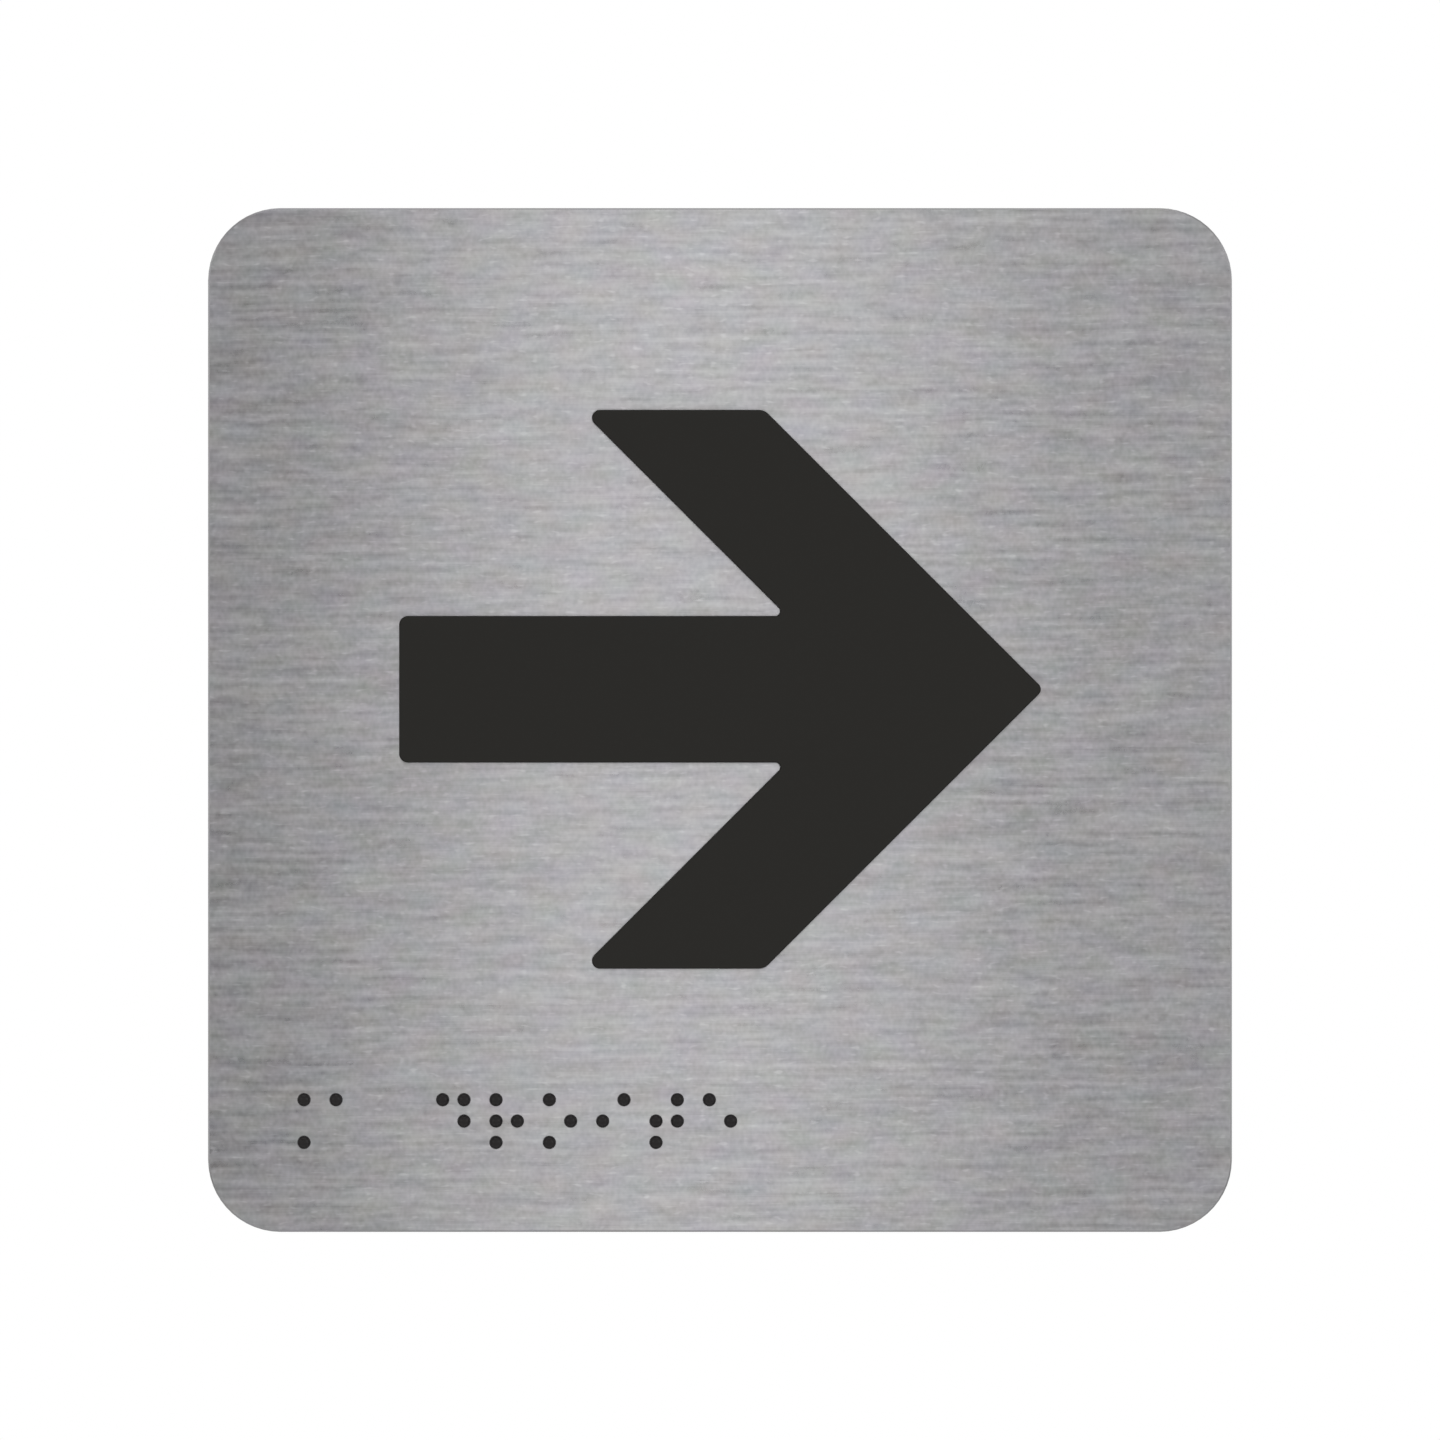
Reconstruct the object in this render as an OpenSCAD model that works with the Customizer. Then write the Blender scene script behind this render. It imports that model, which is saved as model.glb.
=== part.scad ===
// Direction sign for a wall: a brushed square plate with an inlaid raised arrow and a line of braille.
// It stands as it hangs: X runs to the right, Z runs up, the sign faces -Y and the wall is the plane y = 0.
// The origin is the middle of the plate's outline, on the wall.

/* [Plate] */
// Width of the plate from left to right
plate_w = 120; // [100:1:200]
// Height of the plate from bottom to top
plate_h = 120; // [100:1:200]
// Thickness of the plate
plate_t = 3; // [2:0.1:6]
// Radius of the plate's four corners
plate_corner_r = 8.5; // [1:0.5:20]
// Edge break along the front and back outline of the plate
plate_break = 0.2; // [0.05:0.05:0.4]

/* [Arrow] */
// Length of the arrow from its tail to its rounded tip
arrow_l = 75.1; // [60:0.1:92]
// Height of the arrow's head across both barbs
head_h = 65.4; // [50:0.1:80]
// Height of the arrow's shaft
shaft_h = 17.1; // [10:0.1:24]
// Width of each arm of the head, measured square to the arm
arm_w = 15.15; // [8:0.05:20]
// Angle between the shaft and each arm of the head
head_angle = 45; // [40:1:52]
// Height of the arrow's axis above the middle of the plate
arrow_rise = 3.6; // [-5:0.1:15]
// Thickness of the arrow's sheet
arrow_t = 1.6; // [1.2:0.1:2.4]
// Height that the arrow stands proud of the plate
arrow_proud = 0.8; // [0.6:0.1:1]
// Gap between the arrow and the side wall of its pocket
arrow_fit = 0.05; // [0.02:0.01:0.15]
// Edge break along the arrow's front outline
arrow_break = 0.12; // [0.05:0.01:0.3]

/* [Arrow corners] */
// Radius of the arrow's tip
tip_r = 0.8; // [0.5:0.1:3]
// Radius of the obtuse corners where the head meets its barbs
shoulder_r = 1.6; // [0.5:0.1:4]
// Radius of the two sharp barb ends
barb_r = 0.9; // [0.5:0.1:2]
// Radius of the hollow corners between the shaft and the head
notch_r = 0.6; // [0.4:0.1:2]
// Radius of the two corners of the tail
tail_r = 1; // [0.5:0.1:4]

/* [Braille] */
// Diameter of a bead
bead_d = 1.55; // [1.3:0.01:1.9]
// Height that a bead stands proud of the plate
bead_proud = 0.7; // [0.5:0.05:0.8]
// Gap between a bead and the wall of its drilled seat
bead_fit = 0.01; // [0.005:0.005:0.03]
// Distance between neighbouring dots of one cell
dot_pitch = 2.5; // [2.3:0.05:2.6]
// Distance from one cell to the next
cell_pitch = 6.25; // [6:0.05:6.6]
// Distance from the plate's left edge to the first column of dots
braille_left = 8.75; // [6:0.25:20]
// Distance from the plate's bottom edge to the lowest row of dots
braille_bottom = 10.5; // [6:0.25:14]

/* [Foam tape] */
// Width of a tape strip
tape_w = 19; // [10:1:25]
// Thickness of the tape
tape_t = 1; // [0.5:0.1:2]
// Distance from the plate's edges to the outer strips and to every strip's ends
tape_inset = 8; // [3:1:15]

/* [Hidden] */
$fn = 96;

// How far a cutter reaches past the surface that it cuts
over = 0.1;

// How much larger a corner's arc is than a true tangent arc, so that it meets its straights in a clean line
arc_over = 0.0002;

// Faces of the sign, counted outwards from the wall
plate_back = tape_t;
plate_front = plate_back + plate_t;
pocket_floor = plate_front + arrow_proud - arrow_t;
seat_floor = plate_front + bead_proud - bead_d;

// The raised dots of each braille cell, spelling the plain words "to the right" in French
CELLS = [[4, 6], [1], [], [1, 4, 5], [1, 2, 3, 5], [1, 3, 5], [2, 4], [2, 3, 4, 5], [1, 5]];

// One entry of cell and dot number for each bead
BEADS = [for (cell = [1:len(CELLS)]) for (dot = CELLS[cell - 1]) [cell, dot]];

// One entry of name and side for each tape strip
STRIPS = [["foam_tape_left", -1], ["foam_tape_centre", 0], ["foam_tape_right", 1]];

function bead_name(bead) = str("braille_bead_c", bead[0], "_d", bead[1]);

// Dots 1 to 3 run down the left column of a cell, and dots 4 to 6 down its right column
function dot_column(dot) = dot > 3 ? 1 : 0;
function dot_row(dot) = (dot - 1) % 3;
function bead_x(bead) =
    braille_left - plate_w / 2 + (bead[0] - 1) * cell_pitch + dot_column(bead[1]) * dot_pitch;
function bead_y(bead) = braille_bottom - plate_h / 2 + (2 - dot_row(bead[1])) * dot_pitch;

// An outline is a list of corners, anticlockwise, each with its sharp point and its radius
function plate_outline() = [
    [[-plate_w / 2, -plate_h / 2], plate_corner_r],
    [[plate_w / 2, -plate_h / 2], plate_corner_r],
    [[plate_w / 2, plate_h / 2], plate_corner_r],
    [[-plate_w / 2, plate_h / 2], plate_corner_r]
];

// Places along the arrow's axis: the sharp tip, and the edges of an arm at a height off the axis
tip_x = arrow_l / 2 + tip_r * (1 / sin(head_angle) - 1);
function arm_front_x(height) = tip_x - height / tan(head_angle);
function arm_back_x(height) = arm_front_x(height) - arm_w / sin(head_angle);

function arrow_outline() = [
    [[tip_x, arrow_rise], tip_r],
    [[arm_front_x(head_h / 2), arrow_rise + head_h / 2], shoulder_r],
    [[arm_back_x(head_h / 2), arrow_rise + head_h / 2], barb_r],
    [[arm_back_x(shaft_h / 2), arrow_rise + shaft_h / 2], notch_r],
    [[-arrow_l / 2, arrow_rise + shaft_h / 2], tail_r],
    [[-arrow_l / 2, arrow_rise - shaft_h / 2], tail_r],
    [[arm_back_x(shaft_h / 2), arrow_rise - shaft_h / 2], notch_r],
    [[arm_back_x(head_h / 2), arrow_rise - head_h / 2], barb_r],
    [[arm_front_x(head_h / 2), arrow_rise - head_h / 2], shoulder_r]
];

function unit(v) = v / norm(v);
function left_of(v) = [-v.y, v.x];
function point(outline, i) = outline[(i + len(outline)) % len(outline)][0];
function run_in(outline, i) = unit(point(outline, i) - point(outline, i - 1));
function run_out(outline, i) = unit(point(outline, i + 1) - point(outline, i));

// Turn at a corner, positive where the outline bulges and negative in a hollow
function turn(outline, i) =
    let (a = run_in(outline, i), b = run_out(outline, i)) atan2(cross(a, b), a * b);
function side(outline, i) = sign(turn(outline, i));
function radius(outline, i) = outline[(i + len(outline)) % len(outline)][1];

// The arc of a corner: distance from the sharp point to each end, its two ends and its centre
function reach(outline, i) = radius(outline, i) * tan(abs(turn(outline, i)) / 2);
function arc_start(outline, i) = point(outline, i) - run_in(outline, i) * reach(outline, i);
function arc_end(outline, i) = point(outline, i) + run_out(outline, i) * reach(outline, i);
function arc_centre(outline, i) =
    arc_start(outline, i) + left_of(run_in(outline, i)) * side(outline, i) * radius(outline, i);

// How far an edge cutter runs on past a straight: only over a bulging corner, where that touches nothing
function lap(outline, i) = side(outline, i) > 0 ? over : 0;

// The same outline moved outwards by a gap, with its corner arcs kept concentric
function grown(outline, gap) = [
    for (i = [0:len(outline) - 1])
        [point(outline, i) - left_of(unit(run_in(outline, i) + run_out(outline, i)))
            * gap / cos(turn(outline, i) / 2),
         radius(outline, i) + side(outline, i) * gap]
];

// The sharp outline, with each hollow corner filled up to its arc's centre
function filled(outline) = [
    for (i = [0:len(outline) - 1])
        each side(outline, i) > 0
            ? [point(outline, i)]
            : [arc_start(outline, i), arc_centre(outline, i), arc_end(outline, i)]
];

// The round core of a corner's arc, which narrows at a broken edge of a bulging corner and flares in a hollow
module corner_core(outline, i, thickness, front_break, back_break) {
    centre = arc_centre(outline, i);
    bulge = side(outline, i);
    arc_r = radius(outline, i) + arc_over;
    back = back_break > 0
        ? [[arc_r - bulge * (back_break + over), -over], [arc_r, back_break]]
        : [[arc_r, -over]];
    front = front_break > 0
        ? [[arc_r, thickness - front_break], [arc_r - bulge * (front_break + over), thickness + over]]
        : [[arc_r, thickness + over]];
    translate([centre.x, centre.y, 0])
        rotate_extrude() polygon(concat([[0, -over]], back, front, [[0, thickness + over]]));
}

// What is cut away outside the arc of a bulging corner
module corner_waste(outline, i, thickness, front_break, back_break) {
    centre = arc_centre(outline, i);
    past_start = arc_start(outline, i) + (arc_start(outline, i) - centre) / 2;
    past_end = arc_end(outline, i) + (arc_end(outline, i) - centre) / 2;
    past_point = point(outline, i) + (point(outline, i) - centre) / 2;
    difference() {
        translate([0, 0, -over / 2]) linear_extrude(thickness + over)
            polygon([centre, past_start, past_point, past_end]);
        corner_core(outline, i, thickness, front_break, back_break);
    }
}

// Cutter that breaks the edge of the straight after a corner, where the face is z = 0 and the solid lies below
module straight_break(outline, i, size) {
    run = run_out(outline, i);
    from = arc_end(outline, i) - run * lap(outline, i);
    to = arc_start(outline, i + 1) + run * lap(outline, i + 1);
    translate([from.x, from.y, 0]) rotate([0, 0, atan2(run.y, run.x)]) rotate([90, 0, 90])
        linear_extrude(norm(to - from)) polygon([[-over, -size - over], [size + over, over], [-over, over]]);
}

// A flat sheet cut to an outline, from z = 0 up, with round corners and broken edges
module sheet(outline, thickness, front_break = 0, back_break = 0) {
    difference() {
        linear_extrude(thickness) polygon(filled(outline));
        for (i = [0:len(outline) - 1]) {
            if (side(outline, i) > 0) corner_waste(outline, i, thickness, front_break, back_break);
            else corner_core(outline, i, thickness, front_break, back_break);
            if (front_break > 0) translate([0, 0, thickness]) straight_break(outline, i, front_break);
            if (back_break > 0) mirror([0, 0, 1]) straight_break(outline, i, back_break);
        }
    }
}

// Turns what is drawn flat, facing +Z, to hang upright and face -Y
module upright() {
    rotate([90, 0, 0]) children();
}

// Brushed plate, with a routed pocket for the arrow and a drilled seat for each bead
module plate() {
    color([0.72, 0.72, 0.73]) upright() difference() {
        translate([0, 0, plate_back]) sheet(plate_outline(), plate_t, plate_break, plate_break);
        translate([0, 0, pocket_floor]) sheet(grown(arrow_outline(), arrow_fit), arrow_t);
        for (bead = BEADS)
            translate([bead_x(bead), bead_y(bead), seat_floor]) cylinder(d = bead_d + 2 * bead_fit, h = bead_d);
    }
}

// Raised arrow, cut from black sheet and laid in its pocket
module arrow() {
    color([0.17, 0.17, 0.16]) upright()
        translate([0, 0, pocket_floor]) sheet(arrow_outline(), arrow_t, arrow_break);
}

// Ball that makes one braille dot, resting on the bottom of its seat
module braille_bead(bead) {
    color([0.17, 0.17, 0.16]) upright()
        translate([bead_x(bead), bead_y(bead), seat_floor + bead_d / 2]) sphere(d = bead_d);
}

// Strip of double-sided foam tape, upright behind the left edge, the middle or the right edge of the plate
module foam_tape(strip_side) {
    strip_l = plate_h - 2 * tape_inset;
    strip_x = strip_side * (plate_w / 2 - tape_inset - tape_w / 2);
    color([0.86, 0.86, 0.84]) upright()
        translate([strip_x - tape_w / 2, -strip_l / 2, 0]) cube([tape_w, strip_l, tape_t]);
}

plate();
arrow();
for (bead = BEADS) braille_bead(bead);
for (strip = STRIPS) foam_tape(strip[1]);
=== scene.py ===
"""Looks of a wall sign that hangs upright and faces -Y: a brushed metal plate, an inlaid raised arrow, a line
of braille beads and three strips of foam tape behind the plate."""
import math

import bpy
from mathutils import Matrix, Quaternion, Vector

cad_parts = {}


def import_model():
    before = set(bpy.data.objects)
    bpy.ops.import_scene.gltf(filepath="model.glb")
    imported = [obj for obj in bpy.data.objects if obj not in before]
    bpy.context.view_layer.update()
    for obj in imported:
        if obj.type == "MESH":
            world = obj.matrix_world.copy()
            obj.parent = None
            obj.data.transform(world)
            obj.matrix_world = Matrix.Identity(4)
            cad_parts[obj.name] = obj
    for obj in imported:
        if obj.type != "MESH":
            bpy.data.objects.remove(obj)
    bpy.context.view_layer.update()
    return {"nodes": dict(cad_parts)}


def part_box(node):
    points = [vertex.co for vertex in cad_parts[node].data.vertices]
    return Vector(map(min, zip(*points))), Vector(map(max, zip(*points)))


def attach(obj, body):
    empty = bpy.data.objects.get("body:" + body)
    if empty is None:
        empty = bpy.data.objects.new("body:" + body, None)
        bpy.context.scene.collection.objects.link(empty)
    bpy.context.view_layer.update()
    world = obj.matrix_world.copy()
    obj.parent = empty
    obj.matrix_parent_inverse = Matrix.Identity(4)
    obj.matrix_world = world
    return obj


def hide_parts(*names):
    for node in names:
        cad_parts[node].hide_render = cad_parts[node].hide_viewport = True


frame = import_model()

MM = 0.001

# The photograph is a square, taken squarely from the front
PHOTO_SIDE_PX = 1440
PLATE_SIDE_PX = 1024
LENS_MM = 200
SENSOR_MM = 36
NEAREST_SEEN = 0.01
FARTHEST_SEEN = 20

# Base colours as levels on a screen, from 0 to 255. The metal's is darker than bare aluminium's, because it
# reflects white surroundings here.
METAL_GREY = (137.2, 136.5, 137.8)
ARROW_BLACK = (30.2, 29.1, 26.6)
BEAD_BLACK = (28.7, 26.5, 26.6)
FOAM_PALE = (214, 214, 209)
# The colour of the shade painted into the foam's pores
FOAM_PORE_SHADE = (165, 164, 158)
FOAM_PATCH = (196, 196, 188)
GLUE_PALE = (213, 212, 205)

# How far one step of a seed moves the noise along x, y and z
SEED_SHIFT = (31.7, 17.3, 23.9)

# Length and thickness in millimetres of the brushed grain's streaks, and how strongly each kind shows
GRAIN_STREAKS = ((0.42, 0.52, 0.24), (1.1, 0.66, 0.25), (2.8, 0.68, 0.26), (7, 0.68, 0.28), (18, 0.7, 0.31))
# How much the streaks rise for each unit to the right, and how far they wave up and down in millimetres
GRAIN_RISE = 0.006
GRAIN_WAVE = 0.8
# How strongly the metal's red, green and blue vary on their own
HUE_SWING = (0.08, 0.065, 0.1)
# The metal's mean roughness on its faces and on its edge, and how far brushing draws out its gloss
FACE_ROUGHNESS = 0.31
EDGE_ROUGHNESS = 0.44
BRUSHED_STRETCH = 0.85
# How much smoother the acrylic is where it is cut
CUT_SMOOTHNESS = 0.2

TAPE_STRIPS = ("foam_tape_left", "foam_tape_centre", "foam_tape_right")
TAPE_CORNER_RADIUS = 0.4 * MM
TAPE_CORNER_STEPS = 6
TAPE_POINT_GAP = 1.2 * MM
# How thick a glue film is, how far the glue and the foam lie inside the tape's CAD outline, and how much the
# foam swells at half depth
GLUE_FILM = 0.07 * MM
GLUE_INSET = 0.1 * MM
FOAM_INSET = 0.22 * MM
FOAM_SWELL = 0.16 * MM
FOAM_STEPS = 8
# A point this near to a side of the outline belongs to that side
SIDE_ZONE = 0.5 * MM
# The cut sides wander in two waves round the strip, which shift with its place and from level to level
CUT_WANDER = 0.015 * MM
LONG_WAVES = 13
SHORT_WAVES = 31
SHIFT_PER_METRE = 90
SHIFT_PER_LEVEL = 0.4

# The floor's height and radius, and how far it reaches behind the sign
FLOOR_Z = -200 * MM
FLOOR_RADIUS = 1100 * MM
FLOOR_BACK = 1150 * MM
FLOOR_SIDES = 96
# The shares of the floor's radius at which it begins to fade and is gone
FLOOR_FADE = (0.55, 0.98)

WORLD_LEVEL = 0.6
# Each lamp's name, place and size in millimetres, level, and lean in degrees. The two near the lens make the
# bright band down the middle. The low one keeps the undersides of the beads and the plate from going dark.
LAMPS = (
    ("strip_light", (-4, -360, 32), (90, 360), 1.35, 1.5),
    ("wide_light", (145, -420, 50), (180, 360), 0.44, 1.5),
    ("left_light", (-700, -600, 160), (450, 640), 2, 0),
    ("right_light", (750, -500, 200), (450, 700), 2, 0),
    ("top_light", (0, -100, 800), (700, 500), 1.2, 0),
    ("low_light", (0, -40, -150), (500, 120), 0.6, 0),
    ("back_left_light", (-650, 650, 160), (450, 640), 2, 0),
    ("back_right_light", (650, 650, 160), (450, 640), 2, 0),
)


def linear(screen_colour):
    """A colour given as it looks on a screen, from 0 to 255, as the linear colour that a shader takes."""
    shares = [level / 255 for level in screen_colour]
    return tuple(s / 12.92 if s <= 0.04045 else ((s + 0.055) / 1.055) ** 2.4 for s in shares)


class Nodes:
    """The node tree of one material, with short calls for the nodes that the materials share."""

    # The Mix node's sockets for its first and second value and its result
    MIX_SOCKETS = {"FLOAT": (2, 3, 0), "VECTOR": (4, 5, 1), "RGBA": (6, 7, 2)}

    def __init__(self, name):
        self.material = bpy.data.materials.new(name)
        self.material.use_nodes = True
        self.tree = self.material.node_tree
        self.tree.nodes.clear()
        self.shader = self.add("ShaderNodeBsdfPrincipled")
        output = self.add("ShaderNodeOutputMaterial")
        self.link(self.shader.outputs["BSDF"], output.inputs["Surface"])

    def add(self, kind, **settings):
        node = self.tree.nodes.new(kind)
        for name, value in settings.items():
            setattr(node, name, value)
        return node

    def link(self, value, socket):
        """Sets a socket to a number, vector or colour, or links it to another node's output."""
        if isinstance(value, bpy.types.NodeSocket):
            self.tree.links.new(value, socket)
        elif socket.type == "RGBA":
            socket.default_value = (*value, 1)
        else:
            socket.default_value = value

    def math(self, operation, *values):
        node = self.add("ShaderNodeMath", operation=operation)
        for value, socket in zip(values, node.inputs):
            self.link(value, socket)
        return node.outputs["Value"]

    def total(self, *values):
        result = values[0]
        for value in values[1:]:
            result = self.math("ADD", result, value)
        return result

    def vector_math(self, operation, *values):
        node = self.add("ShaderNodeVectorMath", operation=operation)
        for value, socket in zip(values, node.inputs):
            self.link(value, socket)
        return node.outputs["Vector"]

    def split(self, vector):
        node = self.add("ShaderNodeSeparateXYZ")
        self.link(vector, node.inputs["Vector"])
        return node.outputs["X"], node.outputs["Y"], node.outputs["Z"]

    def join(self, x, y, z):
        node = self.add("ShaderNodeCombineXYZ")
        for value, name in ((x, "X"), (y, "Y"), (z, "Z")):
            self.link(value, node.inputs[name])
        return node.outputs["Vector"]

    def millimetres(self):
        """The place on the object, in millimetres."""
        place = self.add("ShaderNodeTexCoord").outputs["Object"]
        return self.vector_math("MULTIPLY", place, (1 / MM, 1 / MM, 1 / MM))

    def noise(self, place, size, detail=0, seed=0, result="Fac"):
        """Smooth noise from 0 to 1 about 0.5, whose patches are size = (x, y, z) millimetres large. The
        result "Color" has noise of its own in each channel."""
        moved = self.vector_math("ADD", place, tuple(seed * shift for shift in SEED_SHIFT))
        node = self.add("ShaderNodeTexNoise", noise_dimensions="3D")
        self.link(self.vector_math("DIVIDE", moved, size), node.inputs["Vector"])
        self.link(1, node.inputs["Scale"])
        self.link(detail, node.inputs["Detail"])
        return node.outputs[result]

    def cells(self, place, size):
        """How far a place is from the middle of its cell, as a share of the cells' size in millimetres."""
        node = self.add("ShaderNodeTexVoronoi", feature="F1")
        self.link(self.vector_math("DIVIDE", place, (size, size, size)), node.inputs["Vector"])
        self.link(1, node.inputs["Scale"])
        return node.outputs["Distance"]

    def swing(self, value, amount):
        """Turns noise about 0.5 into a value about 0, with an amount as its weight."""
        return self.math("MULTIPLY", self.math("SUBTRACT", value, 0.5), amount)

    def remap(self, value, old_range, new_range):
        """Moves a value from one range to another, and holds it within the new one."""
        node = self.add("ShaderNodeMapRange")
        self.link(value, node.inputs["Value"])
        for end, name in zip((*old_range, *new_range), ("From Min", "From Max", "To Min", "To Max")):
            self.link(end, node.inputs[name])
        return node.outputs["Result"]

    def mix(self, share, first, second, kind="FLOAT"):
        """A number, vector or colour between two others."""
        node = self.add("ShaderNodeMix", data_type=kind)
        first_socket, second_socket, result_socket = self.MIX_SOCKETS[kind]
        self.link(share, node.inputs[0])
        self.link(first, node.inputs[first_socket])
        self.link(second, node.inputs[second_socket])
        return node.outputs[result_socket]

    def shaded(self, colour, tone):
        """A colour made darker or lighter by a tone of about 1."""
        return self.vector_math("MULTIPLY", self.join(tone, tone, tone), linear(colour))

    def facing(self):
        """1 on the faces that look to -Y, the front of the sign, and 1 on those that look to +Y, its back."""
        normal_y = self.split(self.add("ShaderNodeNewGeometry").outputs["True Normal"])[1]
        squarely = 0.9
        front = self.math("LESS_THAN", normal_y, -squarely)
        back = self.math("GREATER_THAN", normal_y, squarely)
        return front, back

    def bump(self, height, distance, strength=1):
        node = self.add("ShaderNodeBump")
        self.link(height, node.inputs["Height"])
        self.link(distance, node.inputs["Distance"])
        self.link(strength, node.inputs["Strength"])
        return node.outputs["Normal"]

    def set(self, **sockets):
        """Sets or links the shader's sockets, whose names are in lower case with underscores."""
        by_name = {s.name.lower().replace(" ", "_"): s for s in self.shader.inputs}
        for name, value in sockets.items():
            self.link(value, by_name[name])
        return self.material


def brushed_face(nodes, place):
    """Tone, roughness and height of metal brushed from left to right, with streaks of several lengths and
    soft clouds."""
    x, y, z = nodes.split(place)
    risen_z = nodes.total(z, nodes.math("MULTIPLY", x, -GRAIN_RISE))
    wave = nodes.swing(nodes.noise(place, size=(16, 9, 9), seed=15), GRAIN_WAVE)
    waved = nodes.join(x, y, nodes.total(risen_z, wave))
    streaks = nodes.total(*(
        nodes.swing(nodes.noise(waved, size=(length, thick, thick), seed=length), weight)
        for length, thick, weight in GRAIN_STREAKS
    ))
    clouds = nodes.noise(place, size=(8, 5, 5), detail=1, seed=5)
    glints = nodes.remap(nodes.noise(waved, size=(1.3, 0.4, 0.4), seed=16), (0.66, 0.8), (0, 0.2))
    scratches = nodes.remap(nodes.noise(waved, size=(4.5, 0.42, 0.42), seed=17), (0.34, 0.22), (0, -0.05))
    # Hair-fine lines that only a near look shows
    hairs = nodes.noise(nodes.join(x, y, risen_z), size=(5, 0.12, 0.12), seed=18)
    tone = nodes.total(streaks, nodes.swing(clouds, 0.17), glints, scratches, nodes.swing(hairs, 0.12))
    roughness = nodes.total(FACE_ROUGHNESS, nodes.math("MULTIPLY", streaks, 0.15), nodes.swing(clouds, 0.08))
    return tone, roughness, hairs


def sanded_edge(nodes, place):
    """Tone, roughness and height of the plate's edge, sanded along the outline."""
    sanded = nodes.noise(place, size=(7, 0.12, 7), detail=1, seed=6)
    tone = nodes.swing(sanded, 0.3)
    roughness = nodes.total(EDGE_ROUGHNESS, nodes.swing(sanded, 0.1))
    height = nodes.math("MULTIPLY", sanded, 1.5)
    return tone, roughness, height


def brushed_metal():
    """Aluminium with brushed faces, a sanded edge and a faint mottling of its hue."""
    nodes = Nodes("brushed_metal")
    place = nodes.millimetres()
    front, back = nodes.facing()
    flat = nodes.math("ADD", front, back)
    tone, roughness, height = (
        nodes.mix(flat, edge, face)
        for edge, face in zip(sanded_edge(nodes, place), brushed_face(nodes, place))
    )
    hue = nodes.noise(place, size=(4.2, 3, 2.6), seed=7, result="Color")
    hue = nodes.vector_math("SUBTRACT", hue, (0.5, 0.5, 0.5))
    hue = nodes.vector_math("MULTIPLY", hue, HUE_SWING)
    shade = nodes.vector_math("ADD", hue, nodes.join(tone, tone, tone))
    gain = nodes.vector_math("ADD", shade, (1, 1, 1))
    return nodes.set(
        base_color=nodes.vector_math("MULTIPLY", gain, linear(METAL_GREY)),
        metallic=1,
        roughness=roughness,
        anisotropic=BRUSHED_STRETCH,
        normal=nodes.bump(height, distance=0.006 * MM),
        tangent=nodes.mix(flat, (0, 1, 0), (0, 0, 1), kind="VECTOR"),
    )


def black_acrylic(name, colour, grain_mm, matt):
    """Matt black acrylic, with a fine grain and a faint unevenness, and smoother where it is cut. The value
    of matt is the face's mean roughness."""
    nodes = Nodes(name)
    place = nodes.millimetres()
    front, _ = nodes.facing()
    grain = nodes.noise(place, size=(grain_mm, grain_mm, grain_mm), detail=2, seed=8)
    patches = nodes.noise(place, size=(6, 6, 4), detail=2, seed=9)
    cut = nodes.noise(place, size=(0.25, 6, 0.25), detail=1, seed=10)
    tone = nodes.total(1, nodes.swing(grain, 0.25), nodes.swing(patches, 0.12))
    face_roughness = nodes.total(matt, nodes.swing(grain, 0.15), nodes.swing(patches, 0.1))
    cut_roughness = nodes.total(matt - CUT_SMOOTHNESS, nodes.swing(cut, 0.3))
    height = nodes.mix(front, nodes.math("MULTIPLY", cut, 2), grain)
    return nodes.set(
        base_color=nodes.shaded(colour, tone),
        roughness=nodes.mix(front, cut_roughness, face_roughness),
        specular_ior_level=0.12,
        normal=nodes.bump(height, distance=0.004 * MM),
    )


def foam():
    """Closed-cell foam cut open at the strip's sides, where its cells show as fine pores, with shade painted
    darker into their hollows.
    """
    nodes = Nodes("tape_foam")
    place = nodes.millimetres()
    depth = nodes.remap(nodes.cells(place, size=0.16), (0.1, 0.7), (0, 1))
    patches = nodes.noise(place, size=(5, 5, 5), detail=2, seed=11)
    # Painted shade: the middle of each pore, where it is hollow, is coloured darker
    pore_shade = nodes.remap(depth, (0, 1), (0.75, 0))
    pores = nodes.mix(pore_shade, linear(FOAM_PALE), linear(FOAM_PORE_SHADE), kind="RGBA")
    patchiness = nodes.remap(patches, (0.3, 0.7), (0, 0.25))
    return nodes.set(
        base_color=nodes.mix(patchiness, pores, linear(FOAM_PATCH), kind="RGBA"),
        roughness=nodes.total(0.85, nodes.swing(patches, 0.15)),
        specular_ior_level=0.3,
        normal=nodes.bump(depth, distance=0.05 * MM, strength=0.8),
    )


def tape_glue():
    """The tape's tacky face: a clear glue film on the foam, which shows the cells below it, a few tiny
    bubbles and the fine lines that the coating leaves along the strip."""
    nodes = Nodes("tape_glue")
    place = nodes.millimetres()
    cell = nodes.remap(nodes.cells(place, size=0.32), (0.1, 0.8), (0, 1))
    bubble = nodes.remap(nodes.cells(place, size=1.7), (0.05, 0.12), (1, 0))
    lines = nodes.noise(place, size=(0.7, 4, 40), detail=2, seed=12)
    patches = nodes.noise(place, size=(11, 11, 16), detail=1, seed=13)
    tone = nodes.total(
        1,
        nodes.swing(cell, -0.1),
        nodes.swing(lines, 0.07),
        nodes.swing(patches, 0.05),
        nodes.math("MULTIPLY", bubble, 0.06),
    )
    relief = nodes.total(lines, nodes.swing(cell, 0.3), bubble)
    return nodes.set(
        base_color=nodes.shaded(GLUE_PALE, tone),
        roughness=nodes.total(0.4, nodes.swing(lines, 0.2), nodes.swing(cell, 0.08)),
        normal=nodes.bump(relief, distance=0.02 * MM),
    )


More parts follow.
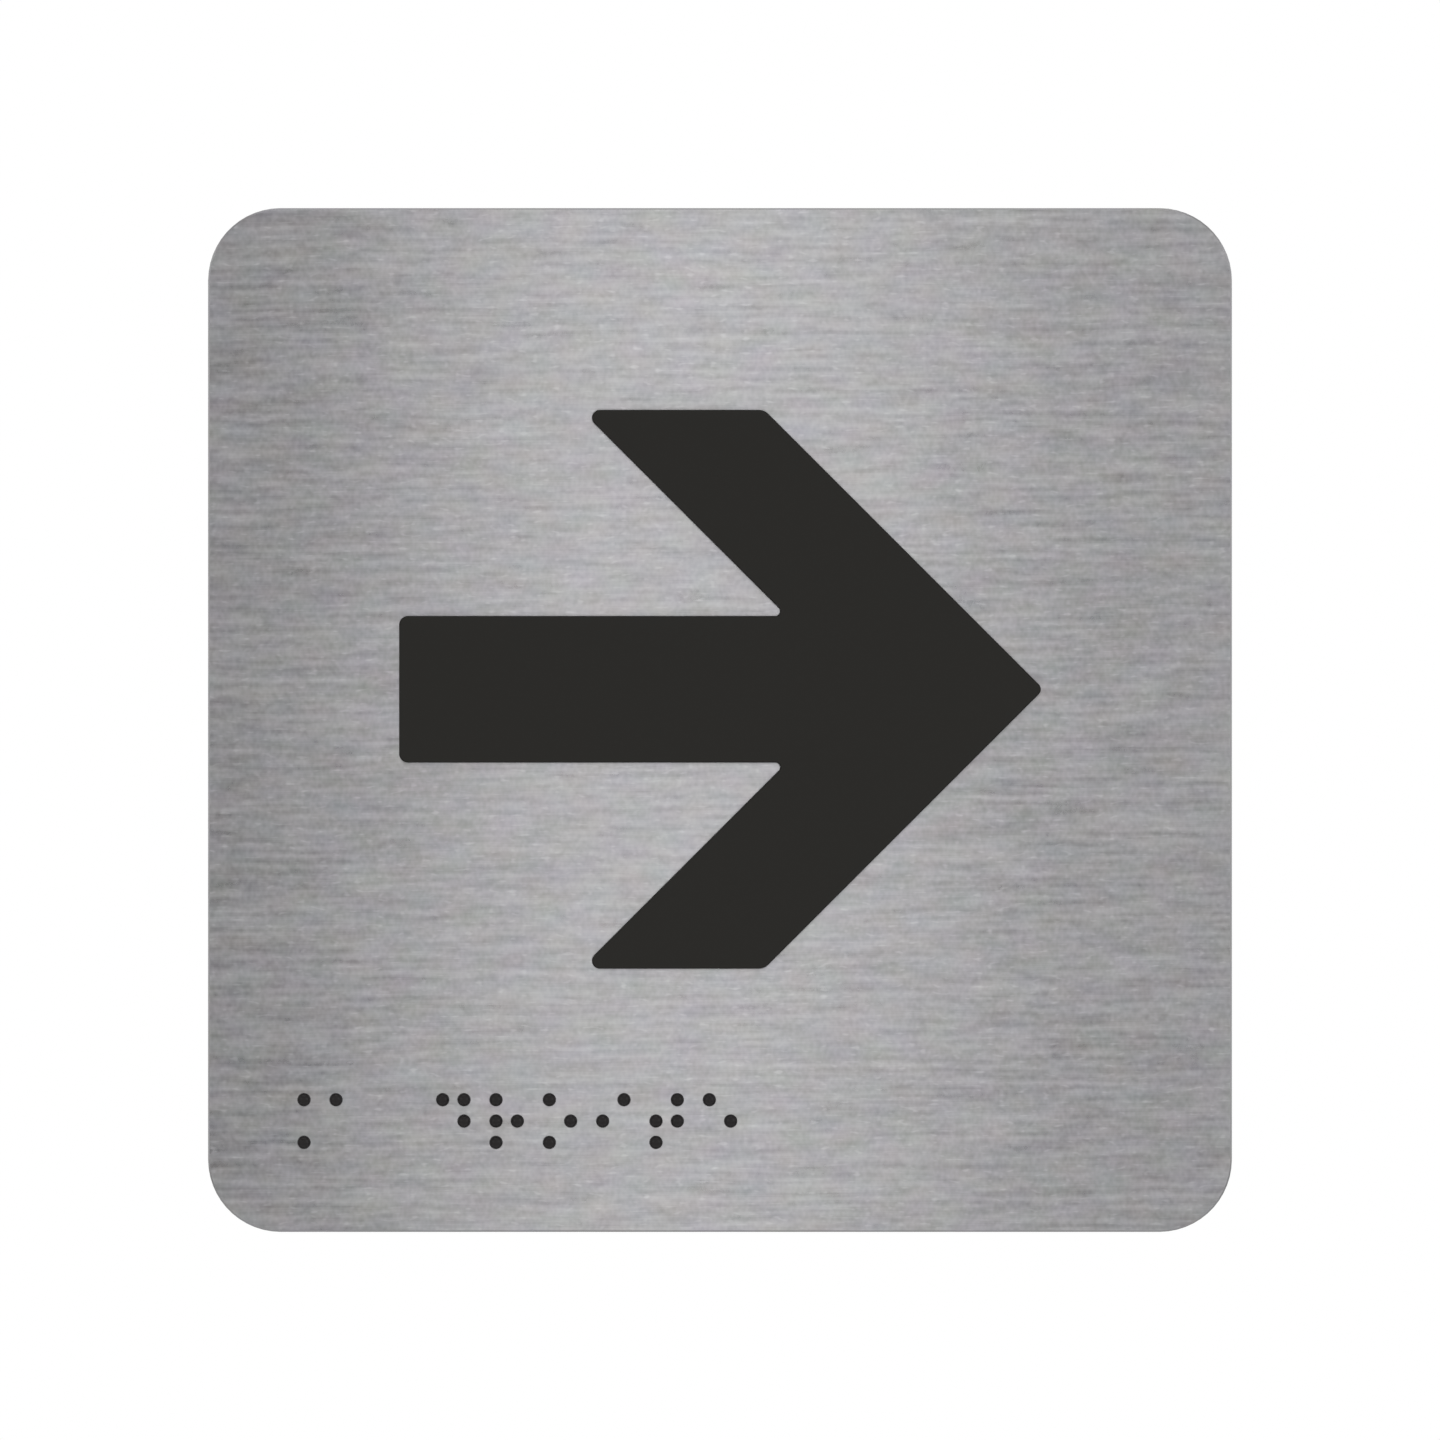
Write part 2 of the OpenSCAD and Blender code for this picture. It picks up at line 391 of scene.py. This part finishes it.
def floor_paint():
    """Pale matt floor that fades out to its rim, so that no edge of it shows."""
    nodes = Nodes("floor_paint")
    place = nodes.millimetres()
    grain = nodes.noise(place, size=(3, 3, 3), detail=3, seed=14)
    tone = nodes.remap(grain, (0.3, 0.7), (0.72, 0.76))
    x, y, _ = nodes.split(place)
    reach = nodes.math("SQRT", nodes.total(nodes.math("MULTIPLY", x, x), nodes.math("MULTIPLY", y, y)))
    fade_range = tuple(share * FLOOR_RADIUS / MM for share in FLOOR_FADE)
    return nodes.set(
        base_color=nodes.join(tone, tone, tone),
        roughness=0.9,
        specular_ior_level=0.1,
        alpha=nodes.remap(reach, fade_range, (1, 0)),
    )


def paint(node_names, material):
    """Gives CAD nodes one material in place of their own."""
    for name in node_names:
        node = frame["nodes"][name]
        node.data.materials.clear()
        node.data.materials.append(material)


def rounded_rectangle(width, height, corner_radius, step):
    """Points round a rectangle about the origin, anticlockwise and about a step apart."""
    points = []
    for turn, (sign_x, sign_z) in enumerate(((1, -1), (1, 1), (-1, 1), (-1, -1))):
        centre_x = sign_x * (width / 2 - corner_radius)
        centre_z = sign_z * (height / 2 - corner_radius)
        for i in range(TAPE_CORNER_STEPS + 1):
            angle = math.radians(-90 + 90 * (turn + i / TAPE_CORNER_STEPS))
            x = centre_x + corner_radius * math.cos(angle)
            z = centre_z + corner_radius * math.sin(angle)
            points.append((x, z))
    spaced = []
    for start, end in zip(points, points[1:] + points[:1]):
        pieces = max(1, round(math.dist(start, end) / step))
        for i in range(pieces):
            share = i / pieces
            spaced.append(tuple(a + (b - a) * share for a, b in zip(start, end)))
    return spaced


def strip_levels(thickness):
    """How far each ring of a strip's points lies below the wall face, and how far inside the CAD outline."""
    foam_thickness = thickness - 2 * GLUE_FILM
    foam_end = thickness - GLUE_FILM
    levels = [(0, GLUE_INSET), (GLUE_FILM, GLUE_INSET), (GLUE_FILM, FOAM_INSET)]
    for i in range(1, FOAM_STEPS):
        share = i / FOAM_STEPS
        swell = FOAM_SWELL * math.sin(math.pi * share)
        levels.append((GLUE_FILM + foam_thickness * share, FOAM_INSET - swell))
    return levels + [(foam_end, FOAM_INSET), (foam_end, GLUE_INSET), (thickness, GLUE_INSET)]


def moved_in(place, half_size, inset):
    """One coordinate of a point on the outline, moved inwards if the point belongs to that side."""
    if abs(place) > half_size - SIDE_ZONE:
        return math.copysign(abs(place) - inset, place)
    return place


def strip_mesh(name, low, high, materials):
    """The mesh of a strip between the corners of its CAD box. Its materials are foam, then glue."""
    foam_slot, glue_slot = 0, 1
    middle = (low + high) / 2
    size = high - low
    outline = rounded_rectangle(size.x, size.z, TAPE_CORNER_RADIUS, TAPE_POINT_GAP)
    levels = strip_levels(size.y)
    count = len(outline)
    last = len(levels) - 1
    glue_rings = (0, 1, last - 2, last - 1)

    vertices = []
    for level, (depth, inset) in enumerate(levels):
        for i, (x, z) in enumerate(outline):
            along = 2 * math.pi * i / count
            long_wave = math.sin(LONG_WAVES * along + SHIFT_PER_METRE * middle.x)
            short_wave = math.sin(SHORT_WAVES * along + SHIFT_PER_LEVEL * level)
            cut = inset + CUT_WANDER * (2 + long_wave + short_wave)
            moved_x = moved_in(x, size.x / 2, cut)
            moved_z = moved_in(z, size.z / 2, cut)
            vertices.append((middle.x + moved_x, high.y - depth, middle.z + moved_z))

    faces = []
    slots = []
    for level in range(last):
        for i in range(count):
            a = level * count + i
            b = level * count + (i + 1) % count
            faces.append((a, b, b + count, a + count))
            slots.append(glue_slot if level in glue_rings else foam_slot)
    faces += [tuple(reversed(range(count))), tuple(range(last * count, (last + 1) * count))]
    slots += [glue_slot, glue_slot]

    mesh = bpy.data.meshes.new(name)
    mesh.from_pydata(vertices, [], faces)
    for material in materials:
        mesh.materials.append(material)
    mesh.polygons.foreach_set("material_index", slots)
    mesh.validate()
    return mesh


def tape_strip(name, materials):
    """A strip of double-sided foam tape in place of its CAD solid: two glue films, and foam between them
    whose cut sides swell a little at half depth and wander as a blade leaves them."""
    strip_name = name + "_strip"
    mesh = strip_mesh(strip_name, *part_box(name), materials)
    strip = bpy.data.objects.new(strip_name, mesh)
    bpy.context.scene.collection.objects.link(strip)
    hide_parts(name)
    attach(strip, "root")


def floor():
    """A round floor below the sign, out of the main view."""
    middle = (0, FLOOR_BACK - FLOOR_RADIUS, FLOOR_Z)
    bpy.ops.mesh.primitive_circle_add(
        vertices=FLOOR_SIDES, radius=FLOOR_RADIUS, fill_type="NGON", location=middle
    )
    disc = bpy.context.object
    disc.name = "floor"
    disc.data.materials.append(floor_paint())


def world(level):
    """Even light of one level, which the camera, gloss and glass see as white."""
    made = bpy.data.worlds.new("studio")
    bpy.context.scene.world = made
    made.use_nodes = True
    tree = made.node_tree
    tree.nodes.clear()
    paths = tree.nodes.new("ShaderNodeLightPath")
    seen = paths.outputs["Is Camera Ray"]
    for ray in ("Is Glossy Ray", "Is Transmission Ray"):
        either = tree.nodes.new("ShaderNodeMath")
        either.operation = "MAXIMUM"
        tree.links.new(seen, either.inputs[0])
        tree.links.new(paths.outputs[ray], either.inputs[1])
        seen = either.outputs["Value"]
    choice = tree.nodes.new("ShaderNodeMixShader")
    tree.links.new(seen, choice.inputs["Fac"])
    for strength, socket in ((level, choice.inputs[1]), (1, choice.inputs[2])):
        background = tree.nodes.new("ShaderNodeBackground")
        background.inputs["Color"].default_value = (1, 1, 1, 1)
        background.inputs["Strength"].default_value = strength
        tree.links.new(background.outputs["Background"], socket)
    output = tree.nodes.new("ShaderNodeOutputWorld")
    tree.links.new(choice.outputs["Shader"], output.inputs["Surface"])


def softbox(name, place_mm, size_mm, level, lean):
    """An area lamp that is aimed at the sign's middle and doesn't show itself to the camera. A level of 1
    gives its face the brightness of white, and a lean in degrees moves a front lamp's top to the right."""
    lamp = bpy.data.lights.new(name, "AREA")
    lamp.shape = "RECTANGLE"
    lamp.size, lamp.size_y = (side * MM for side in size_mm)
    lamp.energy = level * math.pi * lamp.size * lamp.size_y
    made = bpy.data.objects.new(name, lamp)
    bpy.context.scene.collection.objects.link(made)
    made.location = Vector(place_mm) * MM
    made.rotation_mode = "QUATERNION"
    upright = made.location.to_track_quat("Z", "Y")
    made.rotation_quaternion = upright @ Quaternion((0, 0, 1), math.radians(-lean))
    made.visible_camera = False


def camera():
    """A long lens squarely in front of the plate, far enough to frame the photograph."""
    low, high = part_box("plate")
    plate_side = high.x - low.x
    frame_side = plate_side * PHOTO_SIDE_PX / PLATE_SIDE_PX
    distance = frame_side * LENS_MM / SENSOR_MM
    data = bpy.data.cameras.new("camera")
    data.lens = LENS_MM
    data.sensor_width = SENSOR_MM
    data.clip_start = NEAREST_SEEN
    data.clip_end = FARTHEST_SEEN
    made = bpy.data.objects.new("camera", data)
    bpy.context.scene.collection.objects.link(made)
    made.location = (0, low.y - distance, 0)
    made.rotation_euler = (math.radians(90), 0, 0)
    bpy.context.scene.camera = made


camera()
paint(["plate"], brushed_metal())
paint(["arrow"], black_acrylic("arrow_acrylic", ARROW_BLACK, grain_mm=0.12, matt=0.6))
bead_names = sorted(name for name in frame["nodes"] if name.startswith("braille_bead"))
paint(bead_names, black_acrylic("bead_acrylic", BEAD_BLACK, grain_mm=0.08, matt=0.5))
tape_materials = (foam(), tape_glue())
for tape_name in TAPE_STRIPS:
    tape_strip(tape_name, tape_materials)
floor()
world(WORLD_LEVEL)
for lamp_settings in LAMPS:
    softbox(*lamp_settings)

bpy.context.scene.view_settings.view_transform = "Standard"
